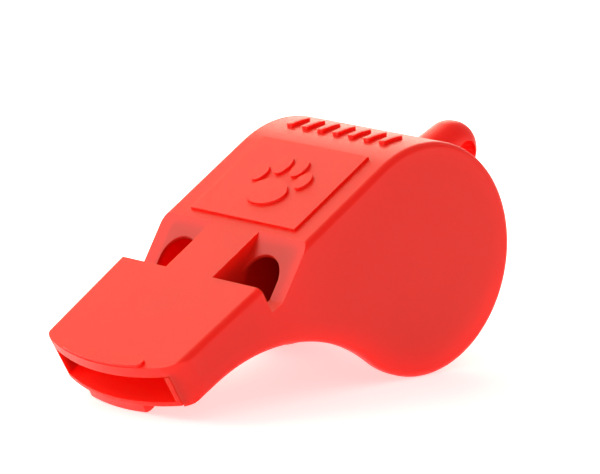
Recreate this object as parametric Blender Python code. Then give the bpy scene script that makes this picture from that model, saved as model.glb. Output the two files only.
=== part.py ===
"""A pealess training whistle with three chambers, moulded in glossy plastic.

Three mouldings make the whistle: the outer casing, the base tray that closes it
from below, and the chamber core that divides the inside into a left, a right and
a central chamber.

Everything is modelled in the whistle's own frame. Its origin is the centre of the
round body, x runs back along the flat roof, y runs across, and z is square to the
roof. The empty "whistle_frame" tilts that frame until the round bottom and the
lower bite ridge both stand on the floor.
"""

import math

import bmesh
import bpy

MM = 0.001

# Body
BODY_RADIUS = 13.4 * MM
HALF_WIDTH = 11.7 * MM
TILT = math.radians(31.0)
EDGE_ROUND = 1.1 * MM
ROOF = 1.3 * MM
SIDE_WALL = 1.5 * MM
BACK_WALL = 1.2 * MM
GAP = 0.3 * MM

# Mouthpiece
LIP_X = -37.45 * MM
LIP_RADIUS = 26.5 * MM
LIP_CORNER = 3.2 * MM
LIP_ROUND = 0.4 * MM
TAPER_START = -19.0 * MM
TAPER = 0.042
THROAT_RADIUS = 20.8 * MM
THROAT_ANGLE = 202.3

# Shoulder notches, windows and the rib between them
NOTCH_FRONT = -21.6 * MM
NOTCH_APEX = -13.5 * MM
NOTCH_FLOOR = 10.0 * MM
RAMP_ANGLE = math.radians(28.0)
RAMP_WALL = 0.9 * MM
RIB_HALF = 3.8 * MM
RIB_WEB = 0.8 * MM
WINDOW_RADIUS = 2.9 * MM
WINDOW_CENTRE = -18.1 * MM

# Badge pad, ornament and bite ridges
PAD_FRONT = -12.3 * MM
PAD_BACK = 0.8 * MM
PAD_HALF = 8.5 * MM
PAD_RISE = 0.3 * MM
PAW_CENTRE = -6.2 * MM
PAW_RISE = 0.35 * MM
RIB_COUNT = 7
RIB_RISE = 0.4 * MM
CROWN_RIB_PITCH = 2.5 * MM
CROWN_RIB_HALF = 0.45 * MM
CROWN_RIB_SPAN = 6.0
CROWN_ANGLE = 67.0
BITE_HALF = 6.4 * MM
BITE_WIDTH = 1.15 * MM
BITE_RISE = 0.35 * MM
LOWER_BITE_LEFT = 5.6 * MM
LOWER_BITE_RIGHT = 4.3 * MM

# Lanyard lug
LUG_X = 17.7 * MM
LUG_Z = 0.05 * MM
LUG_RADIUS = 3.5 * MM
LUG_ROUND = 1.8 * MM
LUG_ROOT = 26.2
LUG_DEPTH = 2.9 * MM
LUG_TANGENT = 81.0
LUG_HALF = 2.3 * MM
LUG_HOLE_X = 18.3 * MM
LUG_HOLE_Z = -0.5 * MM
LUG_HOLE_RADIUS = 1.5 * MM

# Base tray
TRAY_FLOOR = 0.6 * MM
TRAY_WALL = 1.0 * MM
TRAY_STRIP = 0.6 * MM
LIP_RECESS = 0.15 * MM
ROUND_RECESS = 2.0 * MM
SEAM_ANGLE = -50.0
TRAY_TUCK = 6.0
STRIP_END = -23.2 * MM
BASE_WINDOW_FRONT = -26.0 * MM
BASE_WINDOW_BACK = -21.8 * MM
BASE_WINDOW_HALF = 2.1 * MM

# Chamber core
PARTITION = 0.8 * MM
PARTITION_HALF = RIB_HALF - RIB_WEB - GAP
PARTITION_FRONT = -30.0 * MM
NOZZLE_TOP = 9.9 * MM
DEFLECTOR_BOTTOM = 9.7 * MM
LEFT_STOP = 7.6 * MM
RIGHT_STOP = 4.6 * MM
STOP_WALL = 1.0 * MM

FAR = 30.0 * MM


# ---------------------------------------------------------------- helpers

def arc(cx, cz, radius, start, end, steps):
    """Points on an arc, from start to end in degrees, both ends included."""
    points = []
    for i in range(steps + 1):
        angle = math.radians(start + (end - start) * i / steps)
        points.append((cx + radius * math.cos(angle), cz + radius * math.sin(angle)))
    return points


def solid_from_rings(name, ring_a, ring_b):
    """A closed solid between two rings of equal length."""
    bm = bmesh.new()
    first = [bm.verts.new(p) for p in ring_a]
    second = [bm.verts.new(p) for p in ring_b]
    bm.faces.new(first)
    bm.faces.new(second)
    count = len(first)
    for i in range(count):
        j = (i + 1) % count
        bm.faces.new((first[i], first[j], second[j], second[i]))
    bmesh.ops.recalc_face_normals(bm, faces=bm.faces)
    mesh = bpy.data.meshes.new(name)
    bm.to_mesh(mesh)
    bm.free()
    obj = bpy.data.objects.new(name, mesh)
    bpy.context.collection.objects.link(obj)
    return obj


def side_prism(name, outline, low, high):
    """A side view outline of (x, z) points, extruded across from y=low to y=high."""
    return solid_from_rings(
        name,
        [(x, low, z) for x, z in outline],
        [(x, high, z) for x, z in outline],
    )


def plan_prism(name, outline, low, high):
    """A plan outline of (x, y) points, extruded square to the roof."""
    return solid_from_rings(
        name,
        [(x, y, low) for x, y in outline],
        [(x, y, high) for x, y in outline],
    )


def as_cutter(obj):
    """Mark an object as a guide that other objects cut with."""
    obj.hide_render = True
    obj.display_type = "WIRE"
    return obj


def combine(target, other, operation):
    """Add an exact Boolean to the target, and hide the other operand."""
    modifier = target.modifiers.new(other.name, "BOOLEAN")
    modifier.operation = operation
    modifier.solver = "EXACT"
    modifier.object = as_cutter(other)
    return target


def round_edges(obj, width, segments, angle):
    """Round the edges that are sharper than the angle in degrees."""
    bevel = obj.modifiers.new("edge_round", "BEVEL")
    bevel.width = width
    bevel.segments = segments
    bevel.limit_method = "ANGLE"
    bevel.angle_limit = math.radians(angle)
    bevel.use_clamp_overlap = True
    return obj


def plastic(name, colour, roughness):
    """A moulded plastic: Principled BSDF with one colour and roughness."""
    material = bpy.data.materials.new(name)
    material.use_nodes = True
    shader = material.node_tree.nodes["Principled BSDF"]
    shader.inputs["Base Color"].default_value = (*colour, 1.0)
    shader.inputs["Roughness"].default_value = roughness
    shader.inputs["Metallic"].default_value = 0.0
    return material


# ---------------------------------------------------------------- outlines

def half_width(x, inset=0.0):
    """Half the width at x: parallel at the body, slimmer towards the lip."""
    slim = max(0.0, TAPER_START - x) * TAPER
    return HALF_WIDTH - slim - inset


def lip_x(y, inset=0.0):
    """The lip's front line at y, a shallow arc."""
    radius = LIP_RADIUS - inset
    return LIP_X + LIP_RADIUS - math.sqrt(radius * radius - y * y)


def plan_outline(inset=0.0):
    """The plan view of the whistle, moved in from the sides by inset."""
    centre = LIP_X + LIP_RADIUS
    corner_x = LIP_X + LIP_CORNER
    for _ in range(6):
        corner_y = half_width(corner_x, inset) - LIP_CORNER
        reach = LIP_RADIUS - LIP_CORNER
        corner_x = centre - math.sqrt(reach * reach - corner_y * corner_y)
    joint = 180.0 - math.degrees(math.atan2(corner_y, centre - corner_x))
    sweep = 180.0 - joint
    right = arc(corner_x, -corner_y, LIP_CORNER, 270.0, 180.0 + sweep, 5)
    lip = arc(centre, 0.0, LIP_RADIUS, 180.0 + sweep, 180.0 - sweep, 12)
    left = arc(corner_x, corner_y, LIP_CORNER, 180.0 - sweep, 90.0, 5)
    edge = half_width(0.0, inset)
    return (
        [(FAR, -edge), (TAPER_START, -edge)]
        + right
        + lip[1:-1]
        + left
        + [(TAPER_START, edge), (FAR, edge)]
    )


def throat_centre():
    """Centre of the hollow curve under the mouthpiece."""
    reach = BODY_RADIUS + THROAT_RADIUS
    angle = math.radians(THROAT_ANGLE)
    return reach * math.cos(angle), reach * math.sin(angle)


def throat_top():
    """Height of the flat underside that the throat runs into."""
    return throat_centre()[1] + THROAT_RADIUS


def casing_outline():
    """Side view of the whole whistle without its lug."""
    cx, cz = throat_centre()
    under = throat_top()
    start = THROAT_ANGLE - 180.0
    back = arc(0.0, 0.0, BODY_RADIUS, 90.0, THROAT_ANGLE - 360.0, 56)
    throat = arc(cx, cz, THROAT_RADIUS, start, 90.0, 14)
    front = LIP_X - 4.0 * MM
    return [(front, BODY_RADIUS)] + back + throat[1:-1] + [(cx, under), (front, under)]


def cavity_outline():
    """Side view of the casing's hollow, which is open underneath."""
    inner = BODY_RADIUS - BACK_WALL
    front = LIP_X - FAR
    roof = BODY_RADIUS - ROOF
    top = math.degrees(math.asin(roof / inner))
    seam = math.radians(SEAM_ANGLE)
    reach = BODY_RADIUS + FAR
    back = arc(0.0, 0.0, inner, top, SEAM_ANGLE, 34)
    return (
        [(front, roof)]
        + back
        + [(reach * math.cos(seam), reach * math.sin(seam)), (front, -reach)]
    )


def notch_outline(x_front, drop):
    """Side view of a shoulder notch, opened beyond the roof."""
    above = 3.0 * MM
    slope = math.tan(RAMP_ANGLE)
    apex = NOTCH_APEX + (above + drop) / slope
    foot = NOTCH_APEX + (NOTCH_FLOOR - BODY_RADIUS) / slope
    top = BODY_RADIUS + above
    floor = NOTCH_FLOOR - drop
    return [(x_front, floor), (x_front, top), (apex, top), (foot, floor)]


def window_outline(side):
    """Plan view of the arched window in a ramp, flush with the rib."""
    squash = math.cos(RAMP_ANGLE)
    middle = RIB_HALF + WINDOW_RADIUS
    front = NOTCH_FRONT + 0.3 * MM
    points = [(front, middle - WINDOW_RADIUS)]
    for y, x in arc(0.0, 0.0, WINDOW_RADIUS, 180.0, 0.0, 14):
        points.append((WINDOW_CENTRE + x * squash, middle + y))
    points.append((front, middle + WINDOW_RADIUS))
    return [(x, side * y) for x, y in points]


def band_outline(right, left, inset, width, steps):
    """Plan view of a crescent that follows the lip."""
    front = []
    back = []
    for i in range(steps + 1):
        y = left - (left + right) * i / steps
        front.append((lip_x(y, inset), y))
        back.append((lip_x(y, inset + width), y))
    return front + back[::-1]


# ---------------------------------------------------------------- outer casing

def casing_hollow():
    """The hollow inside the casing, leaving the ramps and the rib's webs."""
    hollow = side_prism("casing_hollow", cavity_outline(), -FAR, FAR)
    inner = plan_outline_open(SIDE_WALL)
    combine(hollow, plan_prism("hollow_plan", inner, -2.0 * FAR, 2.0 * FAR), "INTERSECT")
    drop = RAMP_WALL / math.cos(RAMP_ANGLE)
    for side in (-1, 1):
        near = side * (RIB_HALF - RIB_WEB)
        far = side * FAR
        outline = notch_outline(NOTCH_FRONT, drop)
        block = side_prism("shoulder_%s" % side_name(side), outline, min(near, far), max(near, far))
        combine(hollow, block, "DIFFERENCE")
    return hollow


def plan_outline_open(inset):
    """Plan view of the inside, running straight out through the lip."""
    front = LIP_X - 4.0 * MM
    back = half_width(0.0, inset)
    mouth = half_width(front, inset)
    return [
        (FAR, -back),
        (TAPER_START, -back),
        (front, -mouth),
        (front, mouth),
        (TAPER_START, back),
        (FAR, back),
    ]


def side_name(side):
    """Left is +y, seen from behind the whistle."""
    return "left" if side > 0 else "right"


def lug():
    """The lanyard lug at the upper back, with its bore across."""
    root = BODY_RADIUS - LUG_DEPTH
    root_angle = math.radians(LUG_ROOT)
    outline = arc(LUG_X, LUG_Z, LUG_RADIUS, LUG_TANGENT, -LUG_TANGENT, 18)
    outline += [
        (root * math.cos(root_angle), -root * math.sin(root_angle)),
        (root * math.cos(root_angle), root * math.sin(root_angle)),
    ]
    body = side_prism("lug_body", outline, -LUG_HALF, LUG_HALF)
    round_edges(body, LUG_ROUND, 4, 50.0)
    return body


def lug_bore():
    """The bore through the lug."""
    outline = arc(LUG_HOLE_X, LUG_HOLE_Z, LUG_HOLE_RADIUS, 0.0, 345.0, 23)
    return side_prism("lug_bore", outline, -FAR, FAR)


def pad():
    """The raised badge pad on the slanted roof."""
    outline = [
        (PAD_FRONT, -PAD_HALF),
        (PAD_BACK, -PAD_HALF),
        (PAD_BACK, PAD_HALF),
        (PAD_FRONT, PAD_HALF),
    ]
    return plan_prism("badge_pad", outline, BODY_RADIUS - 0.6 * MM, BODY_RADIUS + PAD_RISE)


def paw_pads():
    """A plain paw print on the pad: one large pad and four toes."""
    top = BODY_RADIUS + PAD_RISE + PAW_RISE
    base = BODY_RADIUS + 0.2 * MM
    shapes = [(-1.6, 0.0, 2.1, 2.9)]
    shapes += [(1.1, 3.5, 1.35, 0.95), (1.1, -3.5, 1.35, 0.95)]
    shapes += [(2.9, 1.3, 1.5, 0.95), (2.9, -1.3, 1.5, 0.95)]
    pads = []
    for i, (x, y, long_half, wide_half) in enumerate(shapes):
        outline = []
        for u, v in arc(0.0, 0.0, 1.0, 0.0, 337.5, 15):
            outline.append((PAW_CENTRE + (x + u * long_half) * MM, (y + v * wide_half) * MM))
        pads.append(plan_prism("paw_%d" % i, outline, base, top))
    return pads


def crown_rib(index):
    """One of the grip ribs across the crown, standing on the round surface."""
    y = (index - (RIB_COUNT - 1) / 2.0) * CROWN_RIB_PITCH
    half = CROWN_RIB_HALF
    span = CROWN_RIB_SPAN
    outline = arc(0.0, 0.0, BODY_RADIUS + RIB_RISE, CROWN_ANGLE + span, CROWN_ANGLE - span, 4)
    outline += arc(0.0, 0.0, BODY_RADIUS - 0.5 * MM, CROWN_ANGLE - span, CROWN_ANGLE + span, 4)
    return side_prism("crown_rib_%d" % index, outline, y - half, y + half)


def upper_bite():
    """The low bead along the front of the roof that teeth hold."""
    outline = band_outline(BITE_HALF, BITE_HALF, 0.1 * MM, BITE_WIDTH, 10)
    return plan_prism("upper_bite", outline, BODY_RADIUS - 1.2 * MM, BODY_RADIUS + BITE_RISE)


def outer_casing(material):
    """Roof, sides, round back, lug, badge pad and upper bite bead."""
    casing = side_prism("outer_casing", casing_outline(), -FAR, FAR)
    sides = plan_prism("casing_sides", plan_outline_open(0.0), -2.0 * FAR, 2.0 * FAR)
    combine(casing, sides, "INTERSECT")
    round_edges(casing, EDGE_ROUND, 3, 35.0)
    lip = plan_prism("casing_lip", plan_outline(), -2.0 * FAR, 2.0 * FAR)
    combine(casing, lip, "INTERSECT")
    round_edges(casing, LIP_ROUND, 2, 35.0)
    combine(casing, lug(), "UNION")
    combine(casing, lug_bore(), "DIFFERENCE")
    combine(casing, upper_bite(), "UNION")
    combine(casing, pad(), "UNION")
    for shape in paw_pads():
        combine(casing, shape, "UNION")
    for index in range(RIB_COUNT):
        combine(casing, crown_rib(index), "UNION")
    combine(casing, casing_hollow(), "DIFFERENCE")
    for side in (-1, 1):
        near = side * RIB_HALF
        far = side * FAR
        outline = notch_outline(NOTCH_FRONT, 0.0)
        notch = side_prism("notch_%s" % side_name(side), outline, min(near, far), max(near, far))
        combine(casing, notch, "DIFFERENCE")
        window = plan_prism("window_%s" % side_name(side), window_outline(side), 0.0, FAR)
        combine(casing, window, "DIFFERENCE")
    casing.data.materials.append(material)
    return casing


# ---------------------------------------------------------------- base tray

def underside_path(round_depth, lip_depth, seam):
    """Side view of a line above the underside, from the seam to the mouth.

    The line lies round_depth inside the round bottom, and comes down to
    lip_depth above the underside by the time it reaches the mouth.
    """
    cx, cz = throat_centre()
    start = THROAT_ANGLE - 180.0
    steps = 14
    path = arc(0.0, 0.0, BODY_RADIUS - round_depth, seam, THROAT_ANGLE - 360.0, 26)
    for i in range(1, steps + 1):
        part = i / steps
        ease = part * part * (3.0 - 2.0 * part)
        depth = round_depth + (lip_depth - round_depth) * ease
        angle = math.radians(start + (90.0 - start) * part)
        reach = THROAT_RADIUS + depth
        path.append((cx + reach * math.cos(angle), cz + reach * math.sin(angle)))
    return path


def tray_outline():
    """Side view of the tray: round bottom, throat and mouth floor."""
    seam = SEAM_ANGLE + TRAY_TUCK
    outer = underside_path(ROUND_RECESS, LIP_RECESS, seam)
    inner = underside_path(ROUND_RECESS + TRAY_WALL, LIP_RECESS + TRAY_FLOOR, seam)
    front = LIP_X - 2.0 * MM
    return outer + [(front, outer[-1][1]), (front, inner[-1][1])] + inner[::-1]


def tray_uprights():
    """The thin uprights beside the mouth that slide into the casing."""
    middle = underside_path(
        ROUND_RECESS + 0.5 * TRAY_WALL, LIP_RECESS + 0.5 * TRAY_FLOOR, SEAM_ANGLE
    )
    foot = [point for point in middle if point[0] < STRIP_END]
    front = LIP_X - 2.0 * MM
    top = BODY_RADIUS - ROOF - GAP
    outline = [(STRIP_END, top), (STRIP_END, foot[0][1])] + foot[1:]
    outline += [(front, foot[-1][1]), (front, top)]
    uprights = side_prism("tray_uprights", outline, -FAR, FAR)
    between = plan_outline_open(SIDE_WALL + GAP + TRAY_STRIP)
    return combine(uprights, plan_prism("mouth_plan", between, -FAR, FAR), "DIFFERENCE")


def ridge_z(x):
    """Height where the floor that the round bottom stands on lies, at x."""
    return (-BODY_RADIUS - x * math.sin(TILT)) / math.cos(TILT)


def lower_bite():
    """The lower bite ridge, whose edge reaches down to the floor."""
    inset = 0.2 * MM
    outline = band_outline(LOWER_BITE_RIGHT, LOWER_BITE_LEFT, inset, 1.3 * MM, 8)
    top = throat_top() + 0.5 * MM
    ridge = plan_prism("lower_bite", outline, ridge_z(LIP_X + inset) - 0.1 * MM, top)
    return round_edges(ridge, 0.3 * MM, 2, 50.0)


def base_window():
    """The third window, in the underside of the mouthpiece."""
    half = BASE_WINDOW_HALF
    outline = [
        (BASE_WINDOW_FRONT, -half),
        (BASE_WINDOW_BACK, -half),
        (BASE_WINDOW_BACK, half),
        (BASE_WINDOW_FRONT, half),
    ]
    return plan_prism("base_window", outline, -FAR, 10.6 * MM)


def base_ramp():
    """The slope behind the third window that leaves a thin edge."""
    x = BASE_WINDOW_BACK - 1.0 * MM
    outline = [
        (x, 6.9 * MM),
        (x, -2.0 * MM),
        (x + 6.0 * MM, -2.0 * MM),
        (x + 6.0 * MM, 3.6 * MM),
    ]
    half = BASE_WINDOW_HALF
    return side_prism("base_ramp", outline, -half, half)


def base_tray(material):
    """Mouth floor, underside, round bottom, mouth uprights and lower ridge."""
    tray = side_prism("base_tray", tray_outline(), -FAR, FAR)
    combine(tray, tray_uprights(), "UNION")
    combine(tray, tray_bounds(), "INTERSECT")
    combine(tray, lower_bite(), "UNION")
    combine(tray, base_window(), "DIFFERENCE")
    combine(tray, base_ramp(), "DIFFERENCE")
    tray.data.materials.append(material)
    return tray


def tray_bounds():
    """Plan view that trims the tray between the casing's sides and at the lip."""
    inset = SIDE_WALL + GAP
    plan = plan_prism("tray_plan", plan_outline_open(inset), -2.0 * FAR, 2.0 * FAR)
    lip = plan_prism("tray_lip", plan_outline(), -3.0 * FAR, 3.0 * FAR)
    return combine(plan, lip, "INTERSECT")


# ---------------------------------------------------------------- chamber core

def core_floor():
    """Side view of the tray's upper surface with the core's gap, seam to mouth."""
    depth = ROUND_RECESS + TRAY_WALL + GAP
    return underside_path(depth, LIP_RECESS + TRAY_FLOOR + GAP, SEAM_ANGLE + TRAY_TUCK)


def core_outline():
    """Side view of the room that the core may fill, with its gaps."""
    roof = BODY_RADIUS - ROOF - GAP
    radius = BODY_RADIUS - BACK_WALL - GAP
    top = math.degrees(math.asin(roof / radius))
    back = arc(0.0, 0.0, radius, top, SEAM_ANGLE + TRAY_TUCK + 3.0, 26)
    floor = [point for point in core_floor() if point[0] > PARTITION_FRONT]
    return [(PARTITION_FRONT, roof)] + back + floor + [(PARTITION_FRONT, floor[-1][1])]


def partition(side):
    """One upright wall between the central and a side chamber."""
    far = side * PARTITION_HALF
    near = side * (PARTITION_HALF - PARTITION)
    low, high = min(near, far), max(near, far)
    return side_prism("partition_%s" % side_name(side), core_outline(), low, high)


def nozzle(side):
    """The ramp that leads the breath up under the roof to a side window."""
    back = NOTCH_FRONT - 0.4 * MM
    floor = [point for point in core_floor() if PARTITION_FRONT < point[0] < back]
    outline = floor + [
        (PARTITION_FRONT, floor[-1][1]),
        (PARTITION_FRONT + 4.0 * MM, NOZZLE_TOP),
        (back, NOZZLE_TOP),
        (back, floor[0][1]),
    ]
    low = PARTITION_HALF - 0.5 * PARTITION
    high = half_width(PARTITION_FRONT, SIDE_WALL + TRAY_STRIP + 2.5 * GAP)
    low, high = min(side * low, side * high), max(side * low, side * high)
    return side_prism("nozzle_%s" % side_name(side), outline, low, high)


def deflector():
    """The wedge that sends the middle of the breath down to the base window."""
    roof = BODY_RADIUS - ROOF - GAP
    x = PARTITION_FRONT
    outline = [
        (x, roof),
        (x + 6.5 * MM, roof),
        (x + 4.0 * MM, DEFLECTOR_BOTTOM),
        (x + 2.0 * MM, DEFLECTOR_BOTTOM),
    ]
    half = PARTITION_HALF - 0.5 * PARTITION
    return side_prism("deflector", outline, -half, half)


def stop_wall(side, x):
    """The wall that ends a side chamber, which sets its pitch."""
    end = x + STOP_WALL
    top = math.sqrt((BODY_RADIUS - BACK_WALL - GAP) ** 2 - end * end) - 0.1 * MM
    depth = ROUND_RECESS + TRAY_WALL + GAP
    foot = math.sqrt((BODY_RADIUS - depth) ** 2 - end * end) - 0.1 * MM
    outline = [(x, -foot), (end, -foot), (end, top), (x, top)]
    low = PARTITION_HALF - 0.5 * PARTITION
    high = half_width(0.0, SIDE_WALL + GAP)
    low, high = min(side * low, side * high), max(side * low, side * high)
    return side_prism("stop_%s" % side_name(side), outline, low, high)


def chamber_core(material):
    """Two partitions tied by the deflector, with nozzles and stop walls."""
    core = partition(1)
    core.name = "chamber_core"
    combine(core, deflector(), "UNION")
    combine(core, partition(-1), "UNION")
    combine(core, nozzle(1), "UNION")
    combine(core, nozzle(-1), "UNION")
    combine(core, stop_wall(1, LEFT_STOP), "UNION")
    combine(core, stop_wall(-1, RIGHT_STOP), "UNION")
    core.data.materials.append(material)
    return core


# ---------------------------------------------------------------- assembly

def vertex_bounds(pieces):
    """Lowest and highest world coordinates of the pieces' own vertices."""
    bpy.context.view_layer.update()
    graph = bpy.context.evaluated_depsgraph_get()
    points = []
    for piece in pieces:
        shown = piece.evaluated_get(graph)
        points += [shown.matrix_world @ vertex.co for vertex in shown.data.vertices]
    low = [min(p[i] for p in points) for i in range(3)]
    high = [max(p[i] for p in points) for i in range(3)]
    return low, high


def stand(frame, pieces):
    """Tilt the whistle, then put the middle of its footprint at the origin."""
    frame.rotation_euler = (0.0, -TILT, 0.0)
    low, high = vertex_bounds(pieces)
    frame.location = (-0.5 * (low[0] + high[0]), 0.0, -low[2])


def smooth(obj):
    """Shade round stretches smooth and keep real corners sharp."""
    obj.data.shade_smooth()
    obj.data.set_sharp_from_angle(angle=math.radians(30.0))


def main():
    for obj in list(bpy.data.objects):
        bpy.data.objects.remove(obj, do_unlink=True)
    red = plastic("casing_red", (0.82, 0.03, 0.015), 0.35)
    tray_red = plastic("tray_red", (0.80, 0.025, 0.012), 0.38)
    core_red = plastic("core_red", (0.78, 0.02, 0.01), 0.42)
    frame = bpy.data.objects.new("whistle_frame", None)
    bpy.context.collection.objects.link(frame)
    pieces = [outer_casing(red), base_tray(tray_red), chamber_core(core_red)]
    for obj in bpy.data.objects:
        if obj is not frame:
            obj.parent = frame
    for piece in pieces:
        smooth(piece)
    stand(frame, pieces)


main()
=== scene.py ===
"""The training whistle's finished look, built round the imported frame.

The three mouldings are rebuilt as fine meshes in the whistle's own frame: its origin
is the centre of the round body, x runs back along the flat roof, y runs across and
z is square to the roof. place() then tilts them onto the floor, where the frame is.
"""

import math

import bmesh
import bpy
from mathutils import Matrix, Vector


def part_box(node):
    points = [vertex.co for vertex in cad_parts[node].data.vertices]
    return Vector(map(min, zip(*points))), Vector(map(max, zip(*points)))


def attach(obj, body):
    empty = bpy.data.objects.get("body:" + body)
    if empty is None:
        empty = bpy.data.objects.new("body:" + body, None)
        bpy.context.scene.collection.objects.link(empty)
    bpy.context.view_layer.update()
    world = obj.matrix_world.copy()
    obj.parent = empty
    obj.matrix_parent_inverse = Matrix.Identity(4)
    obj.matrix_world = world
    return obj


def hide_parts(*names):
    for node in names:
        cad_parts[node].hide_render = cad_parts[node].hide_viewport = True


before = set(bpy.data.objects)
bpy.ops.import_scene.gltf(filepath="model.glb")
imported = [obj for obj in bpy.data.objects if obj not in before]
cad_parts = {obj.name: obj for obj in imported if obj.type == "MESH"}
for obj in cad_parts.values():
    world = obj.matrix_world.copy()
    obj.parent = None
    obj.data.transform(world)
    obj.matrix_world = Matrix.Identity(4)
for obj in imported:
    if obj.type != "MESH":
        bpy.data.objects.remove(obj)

MM = 0.001

# Body
BODY_RADIUS = 13.4 * MM
HALF_WIDTH = 11.7 * MM
TILT = math.radians(31.0)
EDGE_ROUND = 1.25 * MM
ROOF = 1.3 * MM
SIDE_WALL = 1.5 * MM
BACK_WALL = 1.2 * MM
SEAM_GAP = 0.12 * MM
CORE_GAP = 0.3 * MM

# Mouthpiece
LIP_X = -37.45 * MM
LIP_RADIUS = 26.5 * MM
LIP_CORNER = 3.2 * MM
LIP_ROUND = 0.4 * MM
TAPER_START = -19.0 * MM
TAPER = 0.042
THROAT_RADIUS = 20.8 * MM
THROAT_ANGLE = 202.3

# Shoulder notches, windows and the rib between them
NOTCH_FRONT = -21.6 * MM
NOTCH_APEX = -13.5 * MM
NOTCH_FLOOR = 10.0 * MM
RAMP_ANGLE = math.radians(28.0)
RAMP_WALL = 0.9 * MM
RIB_HALF = 3.8 * MM
RIB_WEB = 0.8 * MM
WINDOW_RADIUS = 2.9 * MM
WINDOW_CENTRE = -18.1 * MM
WINDOW_SKIN = 0.35 * MM

# Badge pad, ornament and bite ridges
PAD_FRONT = -12.3 * MM
PAD_BACK = 0.8 * MM
PAD_HALF = 8.5 * MM
PAD_RISE = 0.3 * MM
PAW_CENTRE = -6.2 * MM
PAW_RISE = 0.3 * MM
RIB_COUNT = 7
RIB_RISE = 0.4 * MM
CROWN_RIB_PITCH = 2.5 * MM
CROWN_RIB_HALF = 0.45 * MM
CROWN_RIB_SPAN = 6.0
CROWN_ANGLE = 67.0
BITE_HALF = 6.4 * MM
BITE_WIDTH = 1.15 * MM
BITE_RISE = 0.35 * MM
LOWER_BITE_LEFT = 5.6 * MM
LOWER_BITE_RIGHT = 4.3 * MM

# Lanyard lug
LUG_X = 17.7 * MM
LUG_Z = 0.05 * MM
LUG_RADIUS = 3.5 * MM
LUG_ROUND = 2.1 * MM
LUG_HALF = 2.3 * MM
LUG_ROOT = 26.2
LUG_DEPTH = 2.9 * MM
LUG_TANGENT = 81.0
LUG_HOLE_X = 18.3 * MM
LUG_HOLE_Z = -0.5 * MM
LUG_HOLE_RADIUS = 1.5 * MM

# Base tray
TRAY_FLOOR = 0.6 * MM
TRAY_WALL = 1.0 * MM
TRAY_STRIP = 0.5 * MM
LIP_RECESS = 0.15 * MM
ROUND_RECESS = 2.0 * MM
SEAM_ANGLE = -50.0
TRAY_TUCK = 6.0
STRIP_END = -23.2 * MM
BASE_WINDOW_FRONT = -26.0 * MM
BASE_WINDOW_BACK = -21.8 * MM
BASE_WINDOW_HALF = 2.1 * MM

# Chamber core
PARTITION = 0.8 * MM
PARTITION_HALF = RIB_HALF - RIB_WEB - CORE_GAP
PARTITION_FRONT = -30.0 * MM
NOZZLE_TOP = 9.9 * MM
DEFLECTOR_BOTTOM = 9.7 * MM
LEFT_STOP = 7.6 * MM
RIGHT_STOP = 4.6 * MM
STOP_WALL = 1.0 * MM

# Fine edges
SOFT_EDGE = 0.14 * MM
TRAY_EDGE = 0.12 * MM
CORE_EDGE = 0.15 * MM
SLIVER = 0.002 * MM
SMOOTH_ANGLE = 24.0
ARC_STEP = 2.0
FAR = 30.0 * MM

# Camera and stage
CAMERA_AZIMUTH = -43.56
CAMERA_ELEVATION = 11.5
CAMERA_ROLL = 0.49
CAMERA_DISTANCE = 472.5 * MM
CAMERA_LENS = 252.0
CAMERA_TARGET_HEIGHT = 13.0 * MM
CAMERA_AIM_RIGHT = 1.19 * MM
CAMERA_AIM_UP = 2.59 * MM
FLOOR_HALF = 0.9


# ---------------------------------------------------------------- mesh helpers

def arc(cx, cz, radius, start, end, step=ARC_STEP):
    """Points on an arc, from start to end in degrees, both ends included."""
    steps = max(2, round(abs(end - start) / step))
    points = []
    for i in range(steps + 1):
        angle = math.radians(start + (end - start) * i / steps)
        points.append((cx + radius * math.cos(angle), cz + radius * math.sin(angle)))
    return points


def solid_from_rings(name, ring_a, ring_b):
    """A closed solid between two rings of equal length."""
    bm = bmesh.new()
    first = [bm.verts.new(p) for p in ring_a]
    second = [bm.verts.new(p) for p in ring_b]
    bm.faces.new(first)
    bm.faces.new(second)
    count = len(first)
    for i in range(count):
        j = (i + 1) % count
        bm.faces.new((first[i], first[j], second[j], second[i]))
    bmesh.ops.recalc_face_normals(bm, faces=bm.faces)
    mesh = bpy.data.meshes.new(name)
    bm.to_mesh(mesh)
    bm.free()
    obj = bpy.data.objects.new(name, mesh)
    bpy.context.scene.collection.objects.link(obj)
    return obj


def side_prism(name, outline, low, high):
    """A side view outline of (x, z) points, extruded across from y=low to y=high."""
    return solid_from_rings(
        name,
        [(x, low, z) for x, z in outline],
        [(x, high, z) for x, z in outline],
    )


def plan_prism(name, outline, low, high):
    """A plan outline of (x, y) points, extruded square to the roof."""
    return solid_from_rings(
        name,
        [(x, y, low) for x, y in outline],
        [(x, y, high) for x, y in outline],
    )


def bake(obj):
    """Replace the object's mesh by what its modifiers make of it."""
    bpy.context.view_layer.update()
    graph = bpy.context.evaluated_depsgraph_get()
    mesh = bpy.data.meshes.new_from_object(obj.evaluated_get(graph))
    obj.modifiers.clear()
    obj.data = mesh
    return obj


def combine(target, other, operation):
    """Join, cut or clip the target with the other solid, which is used up."""
    modifier = target.modifiers.new("combine", "BOOLEAN")
    modifier.operation = operation
    modifier.solver = "EXACT"
    modifier.object = other
    bake(target)
    bpy.data.objects.remove(other, do_unlink=True)
    return target


def round_edges(obj, width, segments, angle):
    """Round the edges that are sharper than the angle in degrees."""
    bevel = obj.modifiers.new("edge_round", "BEVEL")
    bevel.width = width
    bevel.segments = segments
    bevel.limit_method = "ANGLE"
    bevel.angle_limit = math.radians(angle)
    bevel.use_clamp_overlap = True
    bevel.miter_outer = "MITER_ARC"
    return bake(obj)


def weld(obj, distance):
    """Drop doubled points and slivers that the cuts leave."""
    bm = bmesh.new()
    bm.from_mesh(obj.data)
    bmesh.ops.remove_doubles(bm, verts=bm.verts, dist=distance)
    bmesh.ops.dissolve_degenerate(bm, edges=bm.edges, dist=distance)
    bm.to_mesh(obj.data)
    bm.free()
    return obj


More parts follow.
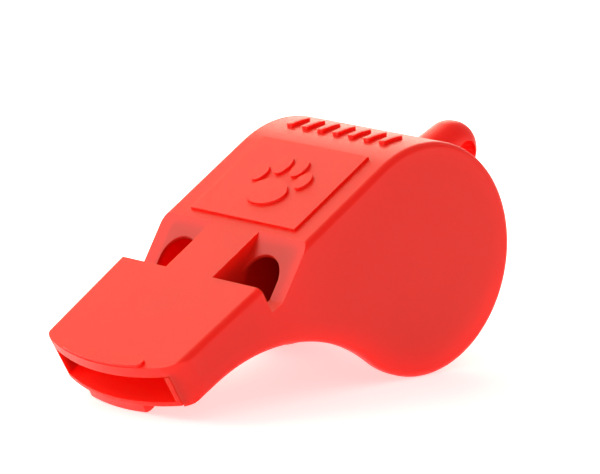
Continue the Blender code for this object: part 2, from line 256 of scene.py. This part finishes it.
def shade(obj, angle):
    """Smooth shading that keeps real corners and leaves flat faces flat."""
    obj.data.shade_smooth()
    obj.data.set_sharp_from_angle(angle=math.radians(angle))
    weighted = obj.modifiers.new("weighted_normals", "WEIGHTED_NORMAL")
    weighted.mode = "FACE_AREA"
    weighted.weight = 50
    weighted.keep_sharp = True
    return bake(obj)


# ---------------------------------------------------------------- outlines

def half_width(x, inset=0.0):
    """Half the width at x: parallel at the body, slimmer towards the lip."""
    slim = max(0.0, TAPER_START - x) * TAPER
    return HALF_WIDTH - slim - inset


def lip_x(y, inset=0.0):
    """The lip's front line at y, a shallow arc."""
    radius = LIP_RADIUS - inset
    return LIP_X + LIP_RADIUS - math.sqrt(radius * radius - y * y)


def plan_outline():
    """The plan view of the whistle."""
    centre = LIP_X + LIP_RADIUS
    corner_x = LIP_X + LIP_CORNER
    for _ in range(6):
        corner_y = half_width(corner_x) - LIP_CORNER
        reach = LIP_RADIUS - LIP_CORNER
        corner_x = centre - math.sqrt(reach * reach - corner_y * corner_y)
    sweep = math.degrees(math.atan2(corner_y, centre - corner_x))
    right = arc(corner_x, -corner_y, LIP_CORNER, 270.0, 180.0 + sweep, 4.0)
    lip = arc(centre, 0.0, LIP_RADIUS, 180.0 + sweep, 180.0 - sweep, 1.0)
    left = arc(corner_x, corner_y, LIP_CORNER, 180.0 - sweep, 90.0, 4.0)
    edge = half_width(0.0)
    return (
        [(FAR, -edge), (TAPER_START, -edge)]
        + right
        + lip[1:-1]
        + left
        + [(TAPER_START, edge), (FAR, edge)]
    )


def plan_outline_open(inset):
    """Plan view of the inside, running straight out through the lip."""
    front = LIP_X - 5.0 * MM
    back = half_width(0.0, inset)
    mouth = half_width(front, inset)
    return [
        (FAR, -back),
        (TAPER_START, -back),
        (front, -mouth),
        (front, mouth),
        (TAPER_START, back),
        (FAR, back),
    ]


def throat_centre():
    """Centre of the hollow curve under the mouthpiece."""
    reach = BODY_RADIUS + THROAT_RADIUS
    angle = math.radians(THROAT_ANGLE)
    return reach * math.cos(angle), reach * math.sin(angle)


def casing_outline():
    """Side view of the whole whistle without its lug."""
    cx, cz = throat_centre()
    under = cz + THROAT_RADIUS
    start = THROAT_ANGLE - 180.0
    back = arc(0.0, 0.0, BODY_RADIUS, 90.0, THROAT_ANGLE - 360.0)
    throat = arc(cx, cz, THROAT_RADIUS, start, 90.0)
    front = LIP_X - 4.0 * MM
    return [(front, BODY_RADIUS)] + back + throat[1:-1] + [(cx, under), (front, under)]


def cavity_outline():
    """Side view of the casing's hollow, which is open underneath."""
    inner = BODY_RADIUS - BACK_WALL
    front = LIP_X - FAR
    roof = BODY_RADIUS - ROOF
    top = math.degrees(math.asin(roof / inner))
    seam = math.radians(SEAM_ANGLE)
    reach = BODY_RADIUS + FAR
    back = arc(0.0, 0.0, inner, top, SEAM_ANGLE)
    return (
        [(front, roof)]
        + back
        + [(reach * math.cos(seam), reach * math.sin(seam)), (front, -reach)]
    )


def ramp_z(x, drop=0.0):
    """Height of the ramp in a shoulder notch, or of a plane below it."""
    return BODY_RADIUS + (x - NOTCH_APEX) * math.tan(RAMP_ANGLE) - drop


def notch_outline(drop):
    """Side view of a shoulder notch, opened beyond the roof."""
    above = 3.0 * MM
    slope = math.tan(RAMP_ANGLE)
    apex = NOTCH_APEX + (above + drop) / slope
    foot = NOTCH_APEX + (NOTCH_FLOOR - BODY_RADIUS) / slope
    top = BODY_RADIUS + above
    floor = NOTCH_FLOOR - drop
    return [(NOTCH_FRONT, floor), (NOTCH_FRONT, top), (apex, top), (foot, floor)]


def window_outline(side):
    """Plan view of the arched window in a ramp, flush with the rib."""
    squash = math.cos(RAMP_ANGLE)
    middle = RIB_HALF + WINDOW_RADIUS
    front = NOTCH_FRONT + 0.3 * MM
    points = [(front, middle - WINDOW_RADIUS)]
    for y, x in arc(0.0, 0.0, WINDOW_RADIUS, 180.0, 0.0, 4.0):
        points.append((WINDOW_CENTRE + x * squash, middle + y))
    points.append((front, middle + WINDOW_RADIUS))
    return [(x, side * y) for x, y in points]


def window_relief(side):
    """A pocket under a ramp that thins it to a skin round the window."""
    skin = WINDOW_SKIN / math.cos(RAMP_ANGLE)
    deep = skin + 2.0 * MM
    front = NOTCH_FRONT + 0.3 * MM
    back = WINDOW_CENTRE + WINDOW_RADIUS + 1.0 * MM
    outline = [
        (front, ramp_z(front, skin)),
        (back, ramp_z(back, skin)),
        (back, ramp_z(back, deep)),
        (front, ramp_z(front, deep)),
    ]
    low, high = side_range(side, RIB_HALF, RIB_HALF + 2.0 * WINDOW_RADIUS + 0.5 * MM)
    return side_prism("window_relief", outline, low, high)


def band_outline(right, left, inset, width):
    """Plan view of a crescent that follows the lip, with rounded ends."""
    steps = 40
    turn = 0.35 * MM
    front = []
    back = []
    for i in range(steps + 1):
        y = left - (left + right) * i / steps
        edge = min(left - y, y + right)
        share = min(1.0, edge / turn)
        pull = turn * (1.0 - math.sqrt(1.0 - (1.0 - share) ** 2))
        front.append((lip_x(y, inset + pull), y))
        back.append((lip_x(y, inset + width - pull), y))
    return front + back[::-1]


# ---------------------------------------------------------------- outer casing

def side_range(side, near, far=FAR):
    """Low and high y of a block on one side of the middle plane."""
    return min(side * near, side * far), max(side * near, side * far)


def casing_hollow():
    """The hollow inside the casing, leaving the ramps and the rib's webs."""
    hollow = side_prism("hollow", cavity_outline(), -FAR, FAR)
    inner = plan_outline_open(SIDE_WALL)
    combine(hollow, plan_prism("hollow_plan", inner, -2.0 * FAR, 2.0 * FAR), "INTERSECT")
    drop = RAMP_WALL / math.cos(RAMP_ANGLE)
    for side in (-1, 1):
        low, high = side_range(side, RIB_HALF - RIB_WEB)
        combine(hollow, side_prism("shoulder", notch_outline(drop), low, high), "DIFFERENCE")
    return hollow


def lug():
    """The lanyard lug at the upper back."""
    root = BODY_RADIUS - LUG_DEPTH
    angle = math.radians(LUG_ROOT)
    outline = arc(LUG_X, LUG_Z, LUG_RADIUS, LUG_TANGENT, -LUG_TANGENT, 4.0)
    outline += [
        (root * math.cos(angle), -root * math.sin(angle)),
        (root * math.cos(angle), root * math.sin(angle)),
    ]
    body = side_prism("lug_body", outline, -LUG_HALF, LUG_HALF)
    return round_edges(body, LUG_ROUND, 10, 50.0)


def lug_bore():
    """The bore through the lug."""
    outline = arc(LUG_HOLE_X, LUG_HOLE_Z, LUG_HOLE_RADIUS, 0.0, 352.5, 7.5)
    return side_prism("lug_bore", outline, -FAR, FAR)


def pad():
    """The raised badge pad on the slanted roof."""
    outline = [
        (PAD_FRONT, -PAD_HALF),
        (PAD_BACK, -PAD_HALF),
        (PAD_BACK, PAD_HALF),
        (PAD_FRONT, PAD_HALF),
    ]
    return plan_prism("badge_pad", outline, BODY_RADIUS - 0.6 * MM, BODY_RADIUS + PAD_RISE)


def paw_pads():
    """A plain paw print on the pad: one large pad and four toes."""
    top = BODY_RADIUS + PAD_RISE + PAW_RISE
    base = BODY_RADIUS + 0.2 * MM
    shapes = [(-1.6, 0.0, 2.1, 2.9)]
    shapes += [(1.1, 3.5, 1.35, 0.95), (1.1, -3.5, 1.35, 0.95)]
    shapes += [(2.9, 1.3, 1.5, 0.95), (2.9, -1.3, 1.5, 0.95)]
    pads = []
    for x, y, long_half, wide_half in shapes:
        outline = []
        for u, v in arc(0.0, 0.0, 1.0, 0.0, 350.0, 10.0):
            outline.append((PAW_CENTRE + (x + u * long_half) * MM, (y + v * wide_half) * MM))
        pads.append(plan_prism("paw", outline, base, top))
    return pads


def crown_rib(index):
    """One of the grip ribs across the crown, standing on the round surface."""
    y = (index - (RIB_COUNT - 1) / 2.0) * CROWN_RIB_PITCH
    half = CROWN_RIB_HALF
    span = CROWN_RIB_SPAN
    outline = arc(0.0, 0.0, BODY_RADIUS + RIB_RISE, CROWN_ANGLE + span, CROWN_ANGLE - span)
    outline += arc(0.0, 0.0, BODY_RADIUS - 0.5 * MM, CROWN_ANGLE - span, CROWN_ANGLE + span)
    return side_prism("crown_rib", outline, y - half, y + half)


def upper_bite():
    """The low bead along the front of the roof that teeth hold."""
    outline = band_outline(BITE_HALF, BITE_HALF, 0.1 * MM, BITE_WIDTH)
    return plan_prism("upper_bite", outline, BODY_RADIUS - 1.2 * MM, BODY_RADIUS + BITE_RISE)


def casing_shell():
    """The rounded outside of the casing, before its hollow and its ornament."""
    casing = side_prism("casing_shell", casing_outline(), -FAR, FAR)
    sides = plan_prism("casing_sides", plan_outline_open(0.0), -2.0 * FAR, 2.0 * FAR)
    combine(casing, sides, "INTERSECT")
    round_edges(casing, EDGE_ROUND, 8, 35.0)
    lip = plan_prism("casing_lip", plan_outline(), -2.0 * FAR, 2.0 * FAR)
    combine(casing, lip, "INTERSECT")
    return round_edges(casing, LIP_ROUND, 4, 35.0)


def outer_casing():
    """Roof, sides, round back, lug, badge pad and upper bite bead."""
    casing = casing_shell()
    combine(casing, lug(), "UNION")
    combine(casing, lug_bore(), "DIFFERENCE")
    combine(casing, upper_bite(), "UNION")
    combine(casing, pad(), "UNION")
    for shape in paw_pads():
        combine(casing, shape, "UNION")
    for index in range(RIB_COUNT):
        combine(casing, crown_rib(index), "UNION")
    combine(casing, casing_hollow(), "DIFFERENCE")
    for side in (-1, 1):
        low, high = side_range(side, RIB_HALF)
        combine(casing, side_prism("notch", notch_outline(0.0), low, high), "DIFFERENCE")
        combine(casing, plan_prism("window", window_outline(side), 0.0, FAR), "DIFFERENCE")
        combine(casing, window_relief(side), "DIFFERENCE")
    weld(casing, SLIVER)
    round_edges(casing, SOFT_EDGE, 2, SMOOTH_ANGLE)
    return casing


# ---------------------------------------------------------------- base tray

def underside_path(round_depth, lip_depth, seam):
    """Side view of a line above the underside, from the seam to the mouth.

    The line lies round_depth inside the round bottom, and comes down to
    lip_depth above the underside by the time it reaches the mouth.
    """
    cx, cz = throat_centre()
    start = THROAT_ANGLE - 180.0
    steps = 36
    path = arc(0.0, 0.0, BODY_RADIUS - round_depth, seam, THROAT_ANGLE - 360.0)
    for i in range(1, steps + 1):
        part = i / steps
        ease = part * part * (3.0 - 2.0 * part)
        depth = round_depth + (lip_depth - round_depth) * ease
        angle = math.radians(start + (90.0 - start) * part)
        reach = THROAT_RADIUS + depth
        path.append((cx + reach * math.cos(angle), cz + reach * math.sin(angle)))
    return path


def tray_outline():
    """Side view of the tray: round bottom, throat and mouth floor."""
    seam = SEAM_ANGLE + TRAY_TUCK
    outer = underside_path(ROUND_RECESS, LIP_RECESS, seam)
    inner = underside_path(ROUND_RECESS + TRAY_WALL, LIP_RECESS + TRAY_FLOOR, seam)
    front = LIP_X - 2.0 * MM
    return outer + [(front, outer[-1][1]), (front, inner[-1][1])] + inner[::-1]


def tray_uprights():
    """The thin uprights beside the mouth that slide into the casing."""
    middle = underside_path(
        ROUND_RECESS + 0.5 * TRAY_WALL, LIP_RECESS + 0.5 * TRAY_FLOOR, SEAM_ANGLE
    )
    foot = [point for point in middle if point[0] < STRIP_END]
    front = LIP_X - 2.0 * MM
    top = BODY_RADIUS - ROOF - SEAM_GAP
    outline = [(STRIP_END, top), (STRIP_END, foot[0][1])] + foot[1:]
    outline += [(front, foot[-1][1]), (front, top)]
    uprights = side_prism("tray_uprights", outline, -FAR, FAR)
    between = plan_outline_open(SIDE_WALL + SEAM_GAP + TRAY_STRIP)
    return combine(uprights, plan_prism("mouth_plan", between, -FAR, FAR), "DIFFERENCE")


def ridge_z(x):
    """Height where the floor that the round bottom stands on lies, at x."""
    return (-BODY_RADIUS - x * math.sin(TILT)) / math.cos(TILT)


def lower_bite():
    """The lower bite ridge, whose edge reaches down to the floor."""
    inset = 0.2 * MM
    outline = band_outline(LOWER_BITE_RIGHT, LOWER_BITE_LEFT, inset, 1.3 * MM)
    top = throat_centre()[1] + THROAT_RADIUS + 0.5 * MM
    return plan_prism("lower_bite", outline, ridge_z(LIP_X + inset) + 0.02 * MM, top)


def base_window():
    """The third window, in the underside of the mouthpiece."""
    half = BASE_WINDOW_HALF
    outline = [
        (BASE_WINDOW_FRONT, -half),
        (BASE_WINDOW_BACK, -half),
        (BASE_WINDOW_BACK, half),
        (BASE_WINDOW_FRONT, half),
    ]
    return plan_prism("base_window", outline, -FAR, 10.6 * MM)


def base_ramp():
    """The slope behind the third window that leaves a thin edge."""
    x = BASE_WINDOW_BACK - 1.0 * MM
    outline = [
        (x, 6.9 * MM),
        (x, -2.0 * MM),
        (x + 6.0 * MM, -2.0 * MM),
        (x + 6.0 * MM, 3.6 * MM),
    ]
    half = BASE_WINDOW_HALF
    return side_prism("base_ramp", outline, -half, half)


def tray_bounds():
    """Plan view that trims the tray between the casing's sides and at the lip."""
    plan = plan_prism("tray_plan", plan_outline_open(SIDE_WALL + SEAM_GAP), -2.0 * FAR, 2.0 * FAR)
    lip = plan_prism("tray_lip", plan_outline(), -3.0 * FAR, 3.0 * FAR)
    return combine(plan, lip, "INTERSECT")


def base_tray():
    """Mouth floor, underside, round bottom, mouth uprights and lower ridge."""
    tray = side_prism("tray_body", tray_outline(), -FAR, FAR)
    combine(tray, tray_uprights(), "UNION")
    combine(tray, tray_bounds(), "INTERSECT")
    combine(tray, lower_bite(), "UNION")
    combine(tray, base_window(), "DIFFERENCE")
    combine(tray, base_ramp(), "DIFFERENCE")
    weld(tray, SLIVER)
    return round_edges(tray, TRAY_EDGE, 2, 38.0)


# ---------------------------------------------------------------- chamber core

def core_outline():
    """Side view of the room that the core may fill, with its gaps."""
    roof = BODY_RADIUS - ROOF - CORE_GAP
    radius = BODY_RADIUS - BACK_WALL - CORE_GAP
    top = math.degrees(math.asin(roof / radius))
    back = arc(0.0, 0.0, radius, top, SEAM_ANGLE + TRAY_TUCK + 3.0)
    floor = [point for point in core_floor() if point[0] > PARTITION_FRONT]
    return [(PARTITION_FRONT, roof)] + back + floor + [(PARTITION_FRONT, floor[-1][1])]


def core_floor():
    """Side view of the tray's upper surface with the core's gap, seam to mouth."""
    depth = ROUND_RECESS + TRAY_WALL + CORE_GAP
    return underside_path(depth, LIP_RECESS + TRAY_FLOOR + CORE_GAP, SEAM_ANGLE + TRAY_TUCK)


def partition(side):
    """One upright wall between the central and a side chamber."""
    low, high = side_range(side, PARTITION_HALF - PARTITION, PARTITION_HALF)
    return side_prism("partition", core_outline(), low, high)


def nozzle(side):
    """The ramp that leads the breath up under the roof to a side window."""
    back = NOTCH_FRONT - 0.4 * MM
    floor = [point for point in core_floor() if PARTITION_FRONT < point[0] < back]
    outline = floor + [
        (PARTITION_FRONT, floor[-1][1]),
        (PARTITION_FRONT + 4.0 * MM, NOZZLE_TOP),
        (back, NOZZLE_TOP),
        (back, floor[0][1]),
    ]
    reach = half_width(PARTITION_FRONT, SIDE_WALL + TRAY_STRIP + 2.5 * CORE_GAP)
    low, high = side_range(side, PARTITION_HALF - 0.5 * PARTITION, reach)
    return side_prism("nozzle", outline, low, high)


def deflector():
    """The wedge that sends the middle of the breath down to the base window."""
    roof = BODY_RADIUS - ROOF - CORE_GAP
    x = PARTITION_FRONT
    outline = [
        (x, roof),
        (x + 6.5 * MM, roof),
        (x + 4.0 * MM, DEFLECTOR_BOTTOM),
        (x + 2.0 * MM, DEFLECTOR_BOTTOM),
    ]
    half = PARTITION_HALF - 0.5 * PARTITION
    return side_prism("deflector", outline, -half, half)


def stop_wall(side, x):
    """The wall that ends a side chamber, which sets its pitch."""
    end = x + STOP_WALL
    top = math.sqrt((BODY_RADIUS - BACK_WALL - CORE_GAP) ** 2 - end * end) - 0.1 * MM
    depth = ROUND_RECESS + TRAY_WALL + CORE_GAP
    foot = math.sqrt((BODY_RADIUS - depth) ** 2 - end * end) - 0.1 * MM
    outline = [(x, -foot), (end, -foot), (end, top), (x, top)]
    low, high = side_range(
        side, PARTITION_HALF - 0.5 * PARTITION, half_width(0.0, SIDE_WALL + CORE_GAP)
    )
    return side_prism("stop", outline, low, high)


def chamber_core():
    """Two partitions tied by the deflector, with nozzles and stop walls."""
    core = partition(1)
    combine(core, deflector(), "UNION")
    combine(core, partition(-1), "UNION")
    for side, x in ((1, LEFT_STOP), (-1, RIGHT_STOP)):
        combine(core, nozzle(side), "UNION")
        combine(core, stop_wall(side, x), "UNION")
    weld(core, SLIVER)
    return round_edges(core, CORE_EDGE, 2, 38.0)


# ---------------------------------------------------------------- materials

def plastic(name, colour, deep, roughness):
    """Moulded satin plastic: fine grain, faint flow streaks and a red glow inside."""
    material = bpy.data.materials.new(name)
    material.use_nodes = True
    tree = material.node_tree
    nodes = tree.nodes
    link = tree.links.new
    shader = nodes["Principled BSDF"]
    place_of = nodes.new("ShaderNodeTexCoord")

    cloud = nodes.new("ShaderNodeTexNoise")
    cloud.inputs["Scale"].default_value = 160.0
    cloud.inputs["Detail"].default_value = 3.0
    link(place_of.outputs["Object"], cloud.inputs["Vector"])

    tone = nodes.new("ShaderNodeMix")
    tone.data_type = "RGBA"
    tone.inputs["A"].default_value = (*deep, 1.0)
    tone.inputs["B"].default_value = (*colour, 1.0)
    link(cloud.outputs["Fac"], tone.inputs["Factor"])
    link(tone.outputs["Result"], shader.inputs["Base Color"])

    grain = nodes.new("ShaderNodeTexNoise")
    grain.inputs["Scale"].default_value = 5200.0
    grain.inputs["Detail"].default_value = 2.0
    link(place_of.outputs["Object"], grain.inputs["Vector"])

    satin = nodes.new("ShaderNodeMapRange")
    satin.inputs["From Min"].default_value = 0.3
    satin.inputs["From Max"].default_value = 0.7
    satin.inputs["To Min"].default_value = roughness - 0.05
    satin.inputs["To Max"].default_value = roughness + 0.07
    link(grain.outputs["Fac"], satin.inputs["Value"])
    link(satin.outputs["Result"], shader.inputs["Roughness"])

    bump = nodes.new("ShaderNodeBump")
    bump.inputs["Strength"].default_value = 0.25
    bump.inputs["Distance"].default_value = 0.03 * MM
    link(grain.outputs["Fac"], bump.inputs["Height"])
    link(bump.outputs["Normal"], shader.inputs["Normal"])

    shader.inputs["Metallic"].default_value = 0.0
    shader.inputs["IOR"].default_value = 1.5
    shader.inputs["Specular IOR Level"].default_value = 0.25
    shader.inputs["Subsurface Weight"].default_value = 0.75
    shader.inputs["Subsurface Radius"].default_value = (1.0, 0.12, 0.06)
    shader.inputs["Subsurface Scale"].default_value = 4.0 * MM
    return material


# ---------------------------------------------------------------- assembly

def place(obj, high):
    """Tilt a finished moulding and set it on the floor, where the frame has it."""
    lug_reach = LUG_X * math.cos(TILT) - LUG_Z * math.sin(TILT) + LUG_RADIUS
    shift = Matrix.Translation((high.x - lug_reach, 0.0, BODY_RADIUS))
    obj.data.transform(shift @ Matrix.Rotation(-TILT, 4, "Y"))
    obj.data.update()


def finish_piece(obj, name, node, material, high):
    """Shade, colour and place a moulding, and let it stand for its CAD node."""
    obj.name = name
    obj.data.name = name
    obj.data.materials.clear()
    obj.data.materials.append(material)
    shade(obj, SMOOTH_ANGLE)
    place(obj, high)
    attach(obj, "root")
    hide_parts(node)
    return obj


def make_floor():
    """A plain flat white floor that keeps shadows faint."""
    bm = bmesh.new()
    half = FLOOR_HALF
    corners = [(-half, -half, 0.0), (half, -half, 0.0), (half, half, 0.0), (-half, half, 0.0)]
    bm.faces.new([bm.verts.new(corner) for corner in corners])
    mesh = bpy.data.meshes.new("floor")
    bm.to_mesh(mesh)
    bm.free()
    floor = bpy.data.objects.new("floor", mesh)
    bpy.context.scene.collection.objects.link(floor)
    material = bpy.data.materials.new("floor_white")
    material.use_nodes = True
    shader = material.node_tree.nodes["Principled BSDF"]
    shader.inputs["Base Color"].default_value = (0.90, 0.90, 0.90, 1.0)
    shader.inputs["Roughness"].default_value = 0.9
    shader.inputs["Emission Color"].default_value = (1.0, 1.0, 1.0, 1.0)
    shader.inputs["Emission Strength"].default_value = 0.55
    floor.data.materials.append(material)
    return floor


def area_light(name, place_at, aim, size, power, colour=(1.0, 1.0, 1.0)):
    """A square soft light that points at a spot."""
    light = bpy.data.lights.new(name, "AREA")
    light.shape = "SQUARE"
    light.size = size
    light.energy = power
    light.color = colour
    obj = bpy.data.objects.new(name, light)
    obj.location = place_at
    direction = Vector(aim) - Vector(place_at)
    obj.rotation_euler = direction.to_track_quat("-Z", "Y").to_euler()
    bpy.context.scene.collection.objects.link(obj)
    return obj


def make_lights():
    """A softbox at the upper left, two warm ones behind and a pale room."""
    aim = (0.0, 0.0, 0.012)
    area_light("key", (-0.31, 0.35, 0.26), aim, 0.36, 0.85)
    area_light("sky", (-0.04, 0.42, 0.33), aim, 0.86, 2.9, (1.0, 0.93, 0.62))
    area_light("back", (0.36, 0.40, 0.22), aim, 0.36, 1.1, (1.0, 0.93, 0.74))
    world = bpy.data.worlds.new("room")
    world.use_nodes = True
    background = world.node_tree.nodes["Background"]
    background.inputs["Color"].default_value = (1.0, 0.97, 0.93, 1.0)
    background.inputs["Strength"].default_value = 0.55
    bpy.context.scene.world = world


def make_camera():
    """The camera, at the viewing angle of a product picture taken from far away."""
    azimuth = math.radians(CAMERA_AZIMUTH)
    elevation = math.radians(CAMERA_ELEVATION)
    back = Vector((
        math.sin(azimuth) * math.cos(elevation),
        -math.cos(azimuth) * math.cos(elevation),
        math.sin(elevation),
    ))
    level = Vector((math.cos(azimuth), math.sin(azimuth), 0.0))
    rise = back.cross(level)
    roll = math.radians(CAMERA_ROLL)
    right = level * math.cos(roll) + rise * math.sin(roll)
    up = rise * math.cos(roll) - level * math.sin(roll)
    target = Vector((0.0, 0.0, CAMERA_TARGET_HEIGHT))
    target += right * CAMERA_AIM_RIGHT + up * CAMERA_AIM_UP
    data = bpy.data.cameras.new("camera")
    data.lens = CAMERA_LENS
    data.sensor_width = 36.0
    data.clip_start = 0.01
    data.clip_end = 10.0
    camera = bpy.data.objects.new("camera", data)
    turn = Matrix((right, up, back)).transposed().to_4x4()
    camera.matrix_world = Matrix.Translation(target + back * CAMERA_DISTANCE) @ turn
    bpy.context.scene.collection.objects.link(camera)
    bpy.context.scene.camera = camera
    return camera


def main():
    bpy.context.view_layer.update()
    make_camera()
    casing_red = plastic("casing_red", (0.97, 0.014, 0.006), (0.93, 0.011, 0.005), 0.36)
    tray_red = plastic("tray_red", (0.93, 0.017, 0.008), (0.88, 0.013, 0.006), 0.38)
    core_red = plastic("core_red", (0.91, 0.015, 0.007), (0.86, 0.012, 0.005), 0.40)
    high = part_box("outer_casing")[1]
    finish_piece(outer_casing(), "casing", "outer_casing", casing_red, high)
    finish_piece(base_tray(), "tray", "base_tray", tray_red, high)
    finish_piece(chamber_core(), "core", "chamber_core", core_red, high)
    make_floor()
    make_lights()
    bpy.context.scene.view_settings.view_transform = "Standard"


main()
